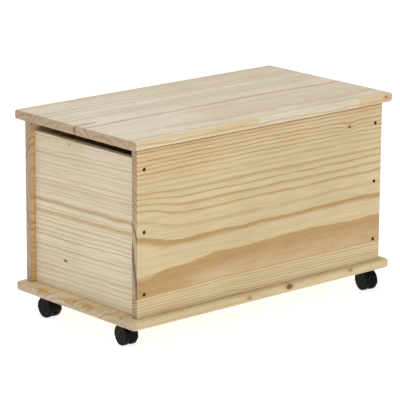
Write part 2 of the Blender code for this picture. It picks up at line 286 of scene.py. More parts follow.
def tone(red: int, green: int, blue: int) -> Colour:
    """A display colour, from 0 to 255, as the linear one that shaders use."""
    shares = (value / 255 for value in (red, green, blue))
    return tuple(v / 12.92 if v <= 0.04045 else ((v + 0.055) / 1.055) ** 2.4 for v in shares)


# ---------------------------------------------------------------- finishes

class Axis(Enum):
    """An axis of the box's frame, by its place in a vector."""

    X = 0
    Y = 1
    Z = 2


class Graph:
    """A material's nodes, made by short calls that each return the socket they end in."""

    def __init__(self, name: str) -> None:
        """Start a material with a Principled shader.

        Args:
            name: The material's name.
        """
        self.material = bpy.data.materials.new(name)
        self.material.use_nodes = True
        self.tree = self.material.node_tree
        self.shader = self.tree.nodes["Principled BSDF"]

    def feed(self, socket: Socket, value: Value) -> None:
        """Link a socket to an input, or set the input's own value.

        Args:
            socket: The input.
            value: What it gets.
        """
        if isinstance(value, bpy.types.NodeSocket):
            self.tree.links.new(value, socket)
        else:
            socket.default_value = value

    def node(self, kind: str, inputs: dict[str, Value] | None = None,
             **settings: object) -> bpy.types.Node:
        """Add a node.

        Args:
            kind: The node's type, without ShaderNode.
            inputs: Values or sockets by input name.
            **settings: The node's own properties.

        Returns:
            The node.
        """
        made = self.tree.nodes.new("ShaderNode" + kind)
        for name, value in settings.items():
            setattr(made, name, value)
        for name, value in (inputs or {}).items():
            self.feed(made.inputs[name], value)
        return made

    def work(self, kind: str, operation: str, *values: Value) -> bpy.types.Node:
        """Add a node that works on its inputs in order.

        Args:
            kind: Math or VectorMath.
            operation: What it does.
            *values: What it works on.

        Returns:
            The node.
        """
        made = self.node(kind, operation=operation)
        for socket, value in zip(made.inputs, values):
            self.feed(socket, value)
        return made

    def math(self, operation: str, *values: Value) -> Socket:
        """Work out one number from up to three."""
        return self.work("Math", operation, *values).outputs[0]

    def plus(self, first: Value, second: Value) -> Socket:
        """First plus second."""
        return self.math("ADD", first, second)

    def minus(self, first: Value, second: Value) -> Socket:
        """First less second."""
        return self.math("SUBTRACT", first, second)

    def times(self, first: Value, second: Value) -> Socket:
        """First times second."""
        return self.math("MULTIPLY", first, second)

    def times_plus(self, first: Value, second: Value, third: Value) -> Socket:
        """First times second, plus third."""
        return self.math("MULTIPLY_ADD", first, second, third)

    def split(self, vector: Value) -> Sequence[Socket]:
        """The three parts of a vector."""
        return self.node("SeparateXYZ", {"Vector": vector}).outputs

    def join(self, x: Value, y: Value = 0.0, z: Value = 0.0) -> Socket:
        """A vector from its parts."""
        return self.node("CombineXYZ", {"X": x, "Y": y, "Z": z}).outputs[0]

    def between(self, value: Value, low: Value, high: Value) -> Socket:
        """Rise smoothly from 0 to 1 while a value goes from low to high.

        Args:
            value: The value.
            low: Where the rise starts.
            high: Where it ends.

        Returns:
            The share.
        """
        made = self.node("MapRange", {"Value": value, "From Min": low, "From Max": high},
                         interpolation_type="SMOOTHSTEP")
        return made.outputs["Result"]

    def fall(self, value: Value, low: Value, high: Value) -> Socket:
        """Fall smoothly from 1 to 0 while a value goes from low to high."""
        return self.minus(1.0, self.between(value, low, high))

    def spread(self, value: Value, low: float, high: float) -> Socket:
        """Stretch a value from 0 to 1 onto low to high."""
        made = self.node("MapRange", {"Value": value, "To Min": low, "To Max": high})
        return made.outputs["Result"]

    def mix(self, factor: Value, first: Value, second: Value, blend: str = "MIX") -> Socket:
        """Mix two colours.

        Args:
            factor: How much of the second shows.
            first: The first colour.
            second: The second colour.
            blend: How they are mixed.

        Returns:
            The mixed colour.
        """
        made = self.node("Mix", data_type="RGBA", blend_type=blend)
        for socket, value in zip((made.inputs[0], made.inputs[6], made.inputs[7]),
                                 (factor, first, second)):
            plain = not isinstance(value, (float, int, bpy.types.NodeSocket))
            self.feed(socket, (*value, 1.0) if plain else value)
        return made.outputs[2]

    def noise(self, vector: Value, scale: float, detail: float = 2.0,
              roughness: float = 0.5) -> Socket:
        """Noise from 0 to 1 on a vector.

        Args:
            vector: Where it is read.
            scale: How fine it is.
            detail: How many finer layers it has.
            roughness: How strong those are.

        Returns:
            The noise.
        """
        made = self.node("TexNoise", {"Vector": vector, "Scale": scale, "Detail": detail,
                                      "Roughness": roughness})
        return made.outputs[0]

    def chance(self, first: Value, second: Value = 0.0) -> Socket:
        """A number from 0 to 1 that stays the same for each pair of values."""
        pair = self.join(first, second)
        return self.node("TexWhiteNoise", {"Vector": pair}, noise_dimensions="2D").outputs[0]

    def object_place(self) -> Socket:
        """The place on the object, in metres."""
        return self.node("TexCoord").outputs["Object"]

    def bump(self, height: Value, strength: float, distance: float) -> None:
        """Give the shader's surface a relief."""
        made = self.node("Bump", {"Height": height, "Strength": strength, "Distance": distance})
        self.feed(self.shader.inputs["Normal"], made.outputs[0])

    def set(self, **values: Value) -> None:
        """Set or link the shader's own sockets; an underscore stands for a space."""
        for name, value in values.items():
            self.feed(self.shader.inputs[name.replace("_", " ")], value)


@dataclass(frozen=True)
class Knot:
    """A branch's foot in a board: rings bend round it, and its heart is brown.

    Attributes:
        centre: A point on its line.
        axis: The axis that its line runs along.
        radius: Radius of the brown heart; 0 bends the rings only.
        reach: How far the rings bend round it.
        push: How far they are pushed.
        heart: Colour of the heart.
    """

    centre: Point
    axis: Axis
    radius: float
    reach: float
    push: float
    heart: Colour = tone(98, 68, 50)


@dataclass(frozen=True)
class Streak:
    """A band of one colour that runs with the grain.

    Attributes:
        across: Its middle, on the across axis, where along is zero.
        slope: How far it rises for each metre along the grain.
        half_width: Half its width.
        tint: Its colour.
        strength: How much of the wood it covers.
    """

    across: float
    slope: float
    half_width: float
    tint: Colour
    strength: float


@dataclass(frozen=True)
class Patch:
    """A box in the wood with a tint of its own: resin, a darker stave, and also painted shade
    under the lid and inside the box.

    Attributes:
        low: Lowest corner.
        high: Highest corner.
        edge: How softly it ends.
        tint: What its colour is multiplied by.
        strength: How much of that shows.
    """

    low: Point
    high: Point
    edge: float
    tint: Colour
    strength: float


@dataclass(frozen=True)
class Spot:
    """A point of a board, as the sockets that its wood is worked out from.

    Attributes:
        graph: The material's nodes.
        place: The point, in metres.
        along: Its place along the grain.
        across: Its place along the board's width.
        through: Its place through the thickness.
        stave: The number of the stave that it lies in, or 0.
    """

    graph: Graph
    place: Socket
    along: Value
    across: Socket
    through: Socket
    stave: Value


BROAD_WAVE = 8.0  # waves to the metre across the grain
RIPPLE_WAVE = 40.0
RIPPLE_LENGTH = 6.5  # how much more often than the broad wave it comes along the grain
FINE_FIBRE = (16.0, 380.0)  # noise to the metre along and across the grain
BROAD_FIBRE = (3.0, 85.0)
DUCTS = (90.0, 900.0)
END_GRAIN = (0.1, 0.45)  # how squarely a face cuts the grain as its colour turns to end grain
STAVE_STEP = 7.3  # keeps each stave's wave unlike its neighbour's
HALO = tone(176, 128, 80)


@dataclass(frozen=True)
class Pine:
    """Solid pine: year rings about a pith, cut by the board's faces.

    Attributes:
        name: The material's name.
        grain: The axis that the tree's stem ran along.
        across: The axis along the board's width.
        through: The axis through its thickness.
        pith: The pith's place along across and through.
        face: The show face's place along through.
        rings: Rings to the metre at the face, and how fast they grow closer.
        shift: Share of a ring that the rings start by.
        quarter: Rings to the metre on the low side of the pith, where they stand square to
            the face; 0 has them curve there as on its high side.
        drift: How far the pith moves across, for each metre along the grain.
        wander: How far the rings wander.
        flow: How often they do so along the grain.
        uneven: How much the years differ in width, as a share of one.
        summer: Share of a year's growth at which the summer wood starts to show.
        stave: Width of the glued staves, or 0 for one board.
        early: Colour of the spring wood.
        late: Colour of the summer wood.
        end_early: Spring wood on the end grain.
        end_late: Summer wood on the end grain.
        contrast: How strong the rings are.
        gloss: Roughness of the lacquer.
        seed: Moves the pattern to another stretch of noise.
        knots: Knots.
        streaks: Coloured bands along the grain.
        patches: Tinted patches.
    """

    name: str
    grain: Axis
    across: Axis
    through: Axis
    pith: tuple[float, float]
    face: float
    rings: tuple[float, float] = (110.0, 0.0)
    shift: float = 0.0
    quarter: float = 0.0
    drift: float = 0.0
    wander: float = 3 * MM
    flow: float = 1.8
    uneven: float = 0.6
    summer: float = 0.45
    stave: float = 0.0
    early: Colour = tone(209, 187, 144)
    late: Colour = tone(182, 143, 86)
    end_early: Colour = tone(172, 149, 120)
    end_late: Colour = tone(98, 78, 62)
    contrast: float = 1.0
    gloss: float = 0.55
    seed: float = 0.0
    knots: tuple[Knot, ...] = ()
    streaks: tuple[Streak, ...] = ()
    patches: tuple[Patch, ...] = ()

    def make(self) -> bpy.types.Material:
        """Build the material.

        Returns:
            The material.
        """
        graph = Graph(self.name)
        spot = self._spot(graph)
        wave = self._wave(spot)
        late = self._summer_wood(spot, self._rings(spot, wave))
        fibre = self._fibre(spot)
        colour = self._colour(spot, late, fibre)
        for streak in self.streaks:
            colour = self._streak(spot, streak, wave, colour)
        dark = tuple(0.5 * share for share in self.late)
        colour = graph.mix(self._specks(spot, late), colour, dark)
        for knot in self.knots:
            colour = self._heart(spot, knot, colour)
        graph.set(Base_Color=colour, Specular_IOR_Level=0.45)
        graph.set(Roughness=graph.minus(self.gloss, graph.times(late, 0.12)))
        relief = graph.times_plus(fibre, 0.6, graph.times(late, 0.4))
        graph.bump(relief, 0.3, 0.2 * MM)
        return graph.material

    def _spot(self, graph: Graph) -> Spot:
        """Where a point lies in the board.

        Args:
            graph: The material's nodes.

        Returns:
            The point.
        """
        place = graph.object_place()
        parts = graph.split(place)
        along, across, through = (parts[axis.value]
                                  for axis in (self.grain, self.across, self.through))
        stave: Value = 0.0
        if self.stave:
            stave = graph.math("FLOOR", graph.math("DIVIDE", across, self.stave))
        return Spot(graph, place, along, across, through, stave)

    def _drawn_out(self, spot: Spot, lengthwise: float, crosswise: float,
                   detail: float) -> Socket:
        """Noise that is drawn out along the grain.

        Args:
            spot: The point.
            lengthwise: How fine it is along the grain.
            crosswise: How fine it is across the grain.
            detail: How many finer layers it has.

        Returns:
            The noise.
        """
        graph = spot.graph
        vector = graph.join(graph.times_plus(spot.along, lengthwise, self.seed),
                            graph.times(spot.across, crosswise),
                            graph.times(spot.through, crosswise))
        return graph.noise(vector, 1.0, detail)

    def _wave(self, spot: Spot) -> Socket:
        """How far the rings are pushed out at a point, by growth and by knots.

        Args:
            spot: The point.

        Returns:
            The distance.
        """
        graph = spot.graph
        if self.stave:
            spot = replace(spot, along=graph.times_plus(spot.stave, STAVE_STEP, spot.along))
        broad = self._drawn_out(spot, self.flow, BROAD_WAVE, 1.0)
        ripple = self._drawn_out(spot, RIPPLE_LENGTH * self.flow, RIPPLE_WAVE, 2.0)
        small = 0.5 * self.wander
        wave = graph.plus(graph.spread(broad, -self.wander, self.wander),
                          graph.spread(ripple, -small, small))
        for knot in self.knots:
            near = graph.fall(self._away(spot, knot), 0.0, knot.reach)
            wave = graph.times_plus(near, knot.push, wave)
        return wave

    def _rings(self, spot: Spot, wave: Socket) -> Socket:
        """How many years of growth lie between a point and the face's oldest one.

        Args:
            spot: The point.
            wave: How far the rings are pushed out there.

        Returns:
            The years.
        """
        graph, across = spot.graph, spot.across
        pith_across, pith_through = self.pith
        side = graph.minus(across, pith_across)
        depth = graph.minus(spot.through, pith_through)
        phase: Value = self.shift
        if self.stave:
            start = graph.times_plus(spot.stave, self.stave, self.stave / 2)
            luck = graph.chance(spot.stave, 3.7 + self.seed)
            off_centre = graph.spread(luck, -1.1 * self.stave, 1.1 * self.stave)
            side = graph.plus(graph.minus(across, start), off_centre)
            phase = graph.times(luck, 9.7)
        if self.drift:
            side = graph.times_plus(spot.along, -self.drift, side)
        if self.quarter:
            below = graph.math("MINIMUM", graph.plus(side, wave), 0.0)
            phase = graph.times_plus(below, -self.quarter, phase)
            side = graph.math("MAXIMUM", side, 0.0)
        squares = graph.plus(graph.times(side, side), graph.times(depth, depth))
        near = abs(self.face - pith_through)
        reach = graph.plus(graph.minus(graph.math("SQRT", squares), near), wave)
        first, closer = self.rings
        count = graph.times(reach, first)
        if closer:
            count = graph.times_plus(graph.times(reach, reach), closer, count)
        uneven = graph.noise(graph.join(count), 0.7, 1.0)
        count = graph.plus(graph.spread(uneven, -self.uneven, self.uneven), count)
        return graph.plus(count, phase)

    def _summer_wood(self, spot: Spot, rings: Socket) -> Socket:
        """How much of the dark summer wood shows, stronger in some years.

        Args:
            spot: The point.
            rings: The years of growth there.

        Returns:
            The share, from 0 to 1 or a little more.
        """
        graph = spot.graph
        share, year = graph.math("FRACT", rings), graph.math("FLOOR", rings)
        start = graph.spread(graph.chance(year, 5.3), self.summer - 0.25, self.summer + 0.2)
        late = graph.times(graph.between(share, start, 0.93), graph.fall(share, 0.94, 1.0))
        luck = graph.chance(year, spot.stave)
        return graph.times(late, graph.spread(luck, 0.25 * self.contrast, self.contrast))

    def _away(self, spot: Spot, knot: Knot) -> Socket:
        """How far a point is from a knot's line, less along the grain.

        Args:
            spot: The point.
            knot: The knot.

        Returns:
            The distance.
        """
        graph = spot.graph
        scale = [1.0, 1.0, 1.0]
        scale[self.grain.value] = 0.6
        scale[knot.axis.value] = 0.0
        gap = graph.work("VectorMath", "SUBTRACT", spot.place, knot.centre).outputs[0]
        flat = graph.work("VectorMath", "MULTIPLY", gap, scale).outputs[0]
        return graph.work("VectorMath", "LENGTH", flat).outputs["Value"]

    def _fibre(self, spot: Spot) -> Socket:
        """Fine streaks along the grain.

        Args:
            spot: The point.

        Returns:
            How pale the wood is there, from 0 to 1.
        """
        graph = spot.graph
        fine = self._drawn_out(spot, *FINE_FIBRE, 3.0)
        broad = self._drawn_out(spot, *BROAD_FIBRE, 2.0)
        return graph.times_plus(fine, 0.6, graph.times(broad, 0.4))

    def _specks(self, spot: Spot, late: Socket) -> Socket:
        """Short resin ducts, mostly in the summer wood.

        Args:
            spot: The point.
            late: How much summer wood shows there.

        Returns:
            How much of a duct shows.
        """
        graph = spot.graph
        mask = graph.between(self._drawn_out(spot, *DUCTS, 1.0), 0.66, 0.76)
        return graph.times(mask, graph.times_plus(late, 0.6, 0.12))

    def _colour(self, spot: Spot, late: Socket, fibre: Socket) -> Socket:
        """The wood's colour before its streaks, knots and resin ducts.

        Args:
            spot: The point.
            late: How much summer wood shows there.
            fibre: How pale its fibre is.

        Returns:
            The colour.
        """
        graph = spot.graph
        face = graph.mix(late, self.early, self.late)
        end = graph.mix(late, self.end_early, self.end_late)
        normal = graph.split(graph.node("TexCoord").outputs["Normal"])
        facing = graph.math("ABSOLUTE", normal[self.grain.value])
        colour = graph.mix(graph.between(facing, *END_GRAIN), face, end)
        cloud = graph.noise(spot.place, 5.0 + self.seed * 0.1, 2.0)
        shade = graph.times(graph.spread(cloud, 0.88, 1.12), graph.spread(fibre, 0.74, 1.26))
        if self.stave:
            luck = graph.chance(spot.stave, 11.0 + self.seed)
            shade = graph.times(shade, graph.spread(luck, 0.95, 1.04))
        warm = graph.join(shade, graph.math("POWER", shade, 1.25),
                          graph.math("POWER", shade, 1.9))
        colour = graph.mix(1.0, colour, warm, "MULTIPLY")
        for patch in self.patches:
            colour = self._patch(spot, patch, colour)
        return colour

    def _patch(self, spot: Spot, patch: Patch, colour: Socket) -> Socket:
        """Tint the wood inside a box with soft edges.

        Args:
            spot: The point.
            patch: The box and its tint.
            colour: The wood's colour so far.

        Returns:
            The tinted colour.
        """
        graph = spot.graph
        inside: Value = patch.strength
        for part, low, high in zip(graph.split(spot.place), patch.low, patch.high):
            inside = graph.times(inside, graph.between(part, low - patch.edge, low))
            inside = graph.times(inside, graph.fall(part, high, high + patch.edge))
        return graph.mix(inside, colour, patch.tint, "MULTIPLY")

    def _streak(self, spot: Spot, streak: Streak, wave: Socket, colour: Socket) -> Socket:
        """Paint a band that follows the rings.

        Args:
            spot: The point.
            streak: The band.
            wave: How far the rings are pushed out there.
            colour: The wood's colour so far.

        Returns:
            The painted colour.
        """
        graph, half = spot.graph, streak.half_width
        middle = graph.times_plus(spot.along, streak.slope, streak.across)
        off = graph.math("ABSOLUTE", graph.plus(graph.minus(spot.across, middle), wave))
        inside = graph.fall(off, 0.7 * half, 1.3 * half)
        return graph.mix(graph.times(inside, streak.strength), colour, streak.tint)

    def _heart(self, spot: Spot, knot: Knot, colour: Socket) -> Socket:
        """Paint a knot's brown heart and its darker rim.

        Args:
            spot: The point.
            knot: The knot.
            colour: The wood's colour so far.

        Returns:
            The painted colour.
        """
        if not knot.radius:
            return colour
        graph, size = spot.graph, knot.radius
        ragged = graph.spread(graph.noise(spot.place, 900.0, 2.0), -0.5 * size, 0.5 * size)
        away = graph.plus(ragged, self._away(spot, knot))
        halo = graph.fall(away, size, 2.6 * size)
        heart = graph.fall(away, 0.9 * size, 1.4 * size)
        colour = graph.mix(graph.times(halo, 0.45), colour, HALO)
        return graph.mix(graph.times(heart, 0.9), colour, knot.heart)


@dataclass(frozen=True)
class Plastic:
    """Moulded plastic with a fine grain from its mould.

    Attributes:
        name: The material's name.
        colour: Its colour.
        roughness: How dull it is where it isn't scuffed.
        grain: How strong the mould's grain is.
        shine: Specular level.
    """

    name: str
    colour: Colour
    roughness: float
    grain: float
    shine: float

    def make(self) -> bpy.types.Material:
        """Build the material.

        Returns:
            The material.
        """
        graph = Graph(self.name)
        place = graph.object_place()
        mould = graph.noise(place, 2600.0, 2.0)
        scuff = graph.noise(place, 160.0, 4.0, 0.65)
        worn = graph.between(scuff, 0.52, 0.75)
        scuffed = tuple(1.7 * share + 0.002 for share in self.colour)
        graph.set(Base_Color=graph.mix(worn, self.colour, scuffed),
                  Roughness=graph.times_plus(worn, 0.16, self.roughness),
                  Specular_IOR_Level=self.shine)
        graph.bump(graph.times_plus(scuff, 0.4, mould), self.grain, 0.06 * MM)
        return graph.material


@dataclass(frozen=True)
class Metal:
    """Plated steel with a drawn or tumbled surface.

    Attributes:
        name: The material's name.
        colour: The plating's colour.
        tarnish: Its colour where it is stained.
        roughness: How dull it is where it isn't stained.
    """

    name: str
    colour: Colour
    tarnish: Colour
    roughness: float

    def make(self) -> bpy.types.Material:
        """Build the material.

        Returns:
            The material.
        """
        graph = Graph(self.name)
        place = graph.object_place()
        cloud = graph.noise(place, 220.0, 3.0, 0.6)
        fine = graph.noise(place, 3000.0, 2.0)
        stain = graph.between(cloud, 0.45, 0.72)
        graph.set(Base_Color=graph.mix(stain, self.colour, self.tarnish), Metallic=1.0,
                  Roughness=graph.times_plus(stain, 0.2, self.roughness))
        graph.bump(fine, 0.25, 0.03 * MM)
        return graph.material


@dataclass(frozen=True)
class Rubber:
    """Soft, nearly clear rubber.

    Attributes:
        name: The material's name.
        colour: Its colour.
    """

    name: str
    colour: Colour

    def make(self) -> bpy.types.Material:
        """Build the material.

        Returns:
            The material.
        """
        graph = Graph(self.name)
        haze = graph.noise(graph.object_place(), 900.0, 2.0)
        graph.set(Base_Color=graph.mix(haze, self.colour, tuple(0.85 * c for c in self.colour)),
                  Roughness=0.38, Subsurface_Weight=0.4, Subsurface_Scale=2 * MM)
        graph.bump(haze, 0.15, 0.05 * MM)
        return graph.material


def hand_over(piece: bpy.types.Object, material: bpy.types.Material, slot: str, body: str,
              *nodes: str) -> None:
    """Dress a piece, let it ride on a body, stand for its nodes, and report it.

    Args:
        piece: The finished object.
        material: Its one material.
        slot: The slot's name in the record; not used.
        body: The body that it rides on.
        *nodes: The CAD nodes that it stands for.
    """
    piece.data.materials.clear()
    piece.data.materials.append(material)
    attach(piece, body)
    if nodes:
        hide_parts(*nodes)
    LOG.info("%s: %d faces, on %s", piece.name, len(piece.data.polygons), body)


# ---------------------------------------------------------------- screws

@dataclass(frozen=True)
class ScrewModel:
    """A countersunk screw with a cross recess, modelled once and copied.

    Attributes:
        head_radius: Radius of the head.
        head_height: Height of its cone.
        shank_radius: Radius of the shank.
        length: Length from the face of the head to the tip.
        sides: How many sides it has.
    """

    head_radius: float
    head_height: float
    shank_radius: float
    length: float
    sides: int = 24

    def model(self) -> bpy.types.Object:
        """Model the screw at the origin, pointing up +Z.

        Returns:
            The model; its head's face is at height zero.
        """
        head, neck = self.head_radius, self.head_height
        made = turned("screw_model", (
            (0.93 * head, 0.0), (head, 0.05 * neck), (head, 0.2 * neck),
            (self.shank_radius, neck), (self.shank_radius, self.length - 2.5 * self.shank_radius),
            (0.1 * self.shank_radius, self.length)), self.sides)
        for turn in (0.0, math.pi / 2):
            arm, half = 0.62 * head, 0.12 * head
            blade = block("recess", (-arm, -half, -0.5 * neck), (arm, half, 0.62 * neck))
            pick_edges(blade, lambda a, b: min(a.z, b.z) > 0)
            bpy.ops.transform.resize(value=(0.45, 0.7, 1), center_override=(0, 0, 0))
            bpy.ops.object.mode_set(mode="OBJECT")
            place_in_mesh(blade, Matrix.Rotation(turn + 0.5, 4, "Z"))
            combine(made, blade)
        even_shading(made, 30)
        return made

    def countersink(self, sunk: float = 0.0) -> bpy.types.Object:
        """Model the tool that drills the screw's hole.

        Args:
            sunk: How deep the head's face lies below the board's.

        Returns:
            The tool; the board's face is at height -sunk.
        """
        rim = self.head_radius + 0.3 * MM
        return turned("countersink", (
            (rim + 1.6 * MM, -sunk - MM), (rim + 0.6 * MM, -sunk), (rim, 0.4 * MM - sunk),
            (rim, 0.3 * self.head_height), (self.shank_radius + 0.2 * MM, self.head_height + MM),
            (self.shank_radius + 0.2 * MM, self.head_height + 5 * MM)), self.sides)


@dataclass
class BoxScrews:
    """The screws through the walls and the base, one for each CAD node.

    Attributes:
        wall: The screw used in the walls.
        base: The longer one used in the base.
    """

    wall: ScrewModel = ScrewModel(3.8 * MM, 2.8 * MM, 1.8 * MM, 38 * MM)
    base: ScrewModel = ScrewModel(3.8 * MM, 2.8 * MM, 1.8 * MM, 46 * MM)

    def rows(self) -> tuple[tuple[str, ScrewModel, Point], ...]:
        """The start of each row's node names, its screw and the way it points."""
        return (("front_screw", self.wall, (0, 1, 0)), ("back_screw", self.wall, (0, -1, 0)),
                ("base_screw", self.base, (0, 0, 1)))

    def places(self, row: str, inward: Point) -> dict[str, Vector]:
        """Where the heads of one row of screws are.

        Args:
            row: The start of the row's node names.
            inward: The way its screws point.

        Returns:
            The middle of each head's face, by node.
        """
        found = {}
        for node in sorted(name for name in frame["nodes"] if name.startswith(row)):
            low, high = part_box(node)
            half = abs((high - low).dot(Vector(inward))) / 2
            found[node] = middle_of(node) - Vector(inward) * half
        return found

    def drill(self, board: bpy.types.Object, row: str, sunk: float) -> None:
        """Cut one row's countersunk holes in a board.

        Args:
            board: The board.
            row: The start of the row's node names.
            sunk: How deep the heads lie below the board's face.
        """
        for start, screw, inward in self.rows():
            if start == row:
                tool = screw.countersink(sunk)
                for point in self.places(row, inward).values():
                    combine(board, copy_of(tool, "hole", aim(point, inward)))
                forget(tool)

    def build(self, finish: "Metal") -> None:
        """Place and dress every screw.

        Args:
            finish: Their finish.
        """
        material = finish.make()
        for row, screw, inward in self.rows():
            model = screw.model()
            for number, (node, point) in enumerate(self.places(row, inward).items()):
                twist = Matrix.Rotation(1.9 * number, 4, "Z")
                made = copy_of(model, "screw_" + node, aim(point, inward) @ twist)
                hand_over(made, material, "dark_bronze_screw", "box", node)
            forget(model)


# ---------------------------------------------------------------- the wooden boards

@dataclass
class Boards:
    """The base, the four walls and the lid.

    Attributes:
        corner_radius: Radius of the lid's and the base's corners in plan.
        edge_radius: Radius of their round-over.
        ease: Radius of the walls' eased edges.
        sunk: How deep the screws' heads lie below the face.
    """

    corner_radius: float = 10 * MM
    edge_radius: float = 6 * MM
    ease: float = 0.9 * MM
    sunk: float = 0.8 * MM

    def slab(self, name: str, node: str) -> bpy.types.Object:
        """A board with round corners in plan and a round-over on both faces.

        Args:
            name: The piece's name.
            node: The CAD node that gives its size and place.

        Returns:
            The board.
        """
        made = block(name, *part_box(node))
        round_off(made, is_upright, self.corner_radius, 8)
        round_off(made, is_level, self.edge_radius, 7)
        return made

    def wall(self, name: str, node: str) -> bpy.types.Object:
        """A wall board with eased edges.

        Args:
            name: The piece's name.
            node: The CAD node that gives its size and place.

        Returns:
            The board.
        """
        made = block(name, *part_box(node))
        round_off(made, any_edge, self.ease, 3)
        return made

    def build(self, finishes: dict[str, Pine], screws: BoxScrews) -> None:
        """Build and dress all six boards.

        Args:
            finishes: The wood of each CAD node.
            screws: The screws that the boards are drilled for.
        """
        rows = {"front_panel": "front_screw", "back_panel": "back_screw",
                "base_board": "base_screw"}
        for node, finish in finishes.items():
            shape = self.slab if node in ("lid", "base_board") else self.wall
            piece = shape("pine_" + node, node)
            if node in rows:
                screws.drill(piece, rows[node], self.sunk)
            even_shading(piece, 30)
            hand_over(piece, finish.make(), "pine", "lid" if node == "lid" else "box", node)


# ---------------------------------------------------------------- hinges and bumpers

@dataclass
class Hinges:
    """Two steel butt hinges behind the lid, with their screws.

    Attributes:
        width: Length of the pin.
        leaf: How far each leaf reaches from the pin.
        thickness: Thickness of the steel.
        radius: Outer radius of the knuckles.
        pin_radius: Radius of the pin.
        space: Gap between two knuckles.
        count: Knuckles in all.
        screw: The screw that holds the leaves.
        holes: Each hole's place along the pin and out from it.
    """

    width: float = 50 * MM
    leaf: float = 32 * MM
    thickness: float = 1.2 * MM
    radius: float = 2.8 * MM
    pin_radius: float = 1.3 * MM
    space: float = 0.4 * MM
    count: int = 5
    screw: ScrewModel = ScrewModel(2.3 * MM, 1.1 * MM, 1.2 * MM, 12 * MM)
    holes: tuple[tuple[float, float], ...] = ((-17 * MM, 12 * MM), (0.0, 23 * MM),
                                              (17 * MM, 12 * MM))

    def knuckle(self, near: float, far: float) -> bpy.types.Object:
        """Roll one strip of the leaf round the pin.

        Args:
            near: Where it starts along the pin.
            far: Where it ends.

        Returns:
            The knuckle, with a tail that runs into the leaf.
        """
        inner = self.radius - self.thickness
        made = block("knuckle", (near, 0, inner), (far, self.radius + 2 * MM, self.radius))
        only(made)
        pick_nothing(made.data)
        for face in made.data.polygons:
            face.select = face.normal.y < -0.9
        bpy.ops.object.mode_set(mode="EDIT")
        bpy.ops.mesh.select_mode(type="FACE")
        bpy.ops.mesh.spin(steps=22, angle=math.radians(302), center=(0, 0, 0), axis=(1, 0, 0))
        bpy.ops.mesh.select_all(action="SELECT")
        bpy.ops.mesh.remove_doubles(threshold=0.00001)
        bpy.ops.mesh.normals_make_consistent(inside=False)
        bpy.ops.object.mode_set(mode="OBJECT")
        return made

    def leaf_model(self, first: int) -> bpy.types.Object:
        """Model a leaf along +Y from the pin, its screw heads on the lower face.

        Args:
            first: Number of its first knuckle; it has every second one.

        Returns:
            The leaf.
        """
        half, low = self.width / 2, self.radius - self.thickness
        made = block("leaf", (-half, self.radius + 0.8 * MM, low), (half, self.leaf, self.radius))
        round_off(made, lambda a, b: is_upright(a, b) and a.y > 0.9 * self.leaf, 3 * MM, 6)
        round_off(made, lambda a, b: is_level(a, b) and min(a.y, b.y) > self.leaf / 4,
                  0.2 * MM, 2)
        pitch = self.width / self.count
        for number in range(first, self.count, 2):
            start = number * pitch - half
            combine(made, self.knuckle(start + self.space / 2, start + pitch - self.space / 2),
                    "UNION")
        tool = self.screw.countersink()
        for along, out in self.holes:
            combine(made, copy_of(tool, "hole", aim((along, out, low), (0, 0, 1))))
        forget(tool)
        even_shading(made, 35)
        return made

    def pin_model(self) -> bpy.types.Object:
        """Model the pin along X, its ends a little rounded.

        Returns:
            The pin.
        """
        half, radius = self.width / 2, self.pin_radius
        made = turned("pin", ((0.7 * radius, -half), (radius, 0.4 * MM - half),
                              (radius, half - 0.4 * MM), (0.7 * radius, half)), 24)
        place_in_mesh(made, Matrix.Rotation(math.pi / 2, 4, "Y"))
        even_shading(made, 40)
        return made

    def build(self, finish: "Metal") -> None:
        """Place both hinges and their screws.

        Args:
            finish: The steel.
        """
        material = finish.make()
        leaves = (("lid", self.leaf_model(1), Matrix.Rotation(math.pi, 4, "Z")),
                  ("box", self.leaf_model(0), Matrix.Rotation(math.pi, 4, "Z")
                   @ Matrix.Rotation(-math.pi / 2, 4, "X")))
        pin, screw = self.pin_model(), self.screw.model()
        for side in ("left_hinge", "right_hinge"):
            place = Matrix.Translation(middle_of(side + "_pin"))
            made = copy_of(pin, "steel_" + side + "_pin", place)
            hand_over(made, material, "zinc_steel", "box", side + "_pin")
            for body, model, turn in leaves:
                node = f"{side}_{body}_leaf"
                made = copy_of(model, "steel_" + node, place @ turn)
                hand_over(made, material, "zinc_steel", body, node)
                for number, (along, out) in enumerate(self.holes, 1):
                    seat = aim((along, out, self.radius - self.thickness), (0, 0, 1))
                    made = copy_of(screw, f"steel_{node}_screw_{number}", place @ turn @ seat)
                    hand_over(made, material, "zinc_steel", body)
        forget(pin, screw, *(model for _body, model, _turn in leaves))


@dataclass
class Bumpers:
    """Soft dots on the front wall's top edge that the lid closes on.

    Attributes:
        radius: Their radius.
    """

    radius: float = 5 * MM

    def build(self, finish: "Rubber") -> None:
        """Build both bumpers from their CAD nodes' boxes.

        Args:
            finish: Their rubber.
        """
        material = finish.make()
        for node in ("left_bumper", "right_bumper"):
            low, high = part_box(node)
            tall, wide = high.z - low.z, self.radius
            made = turned("rubber_" + node, (
                (wide, 0), (wide, 0.3 * tall), (0.97 * wide, 0.6 * tall),
                (0.86 * wide, 0.85 * tall), (0.66 * wide, tall)), 40)
            middle = middle_of(node)
            place_in_mesh(made, Matrix.Translation((middle.x, middle.y, low.z)))
            even_shading(made, 50)
            hand_over(made, material, "clear_rubber", "box", node)


# ---------------------------------------------------------------- casters

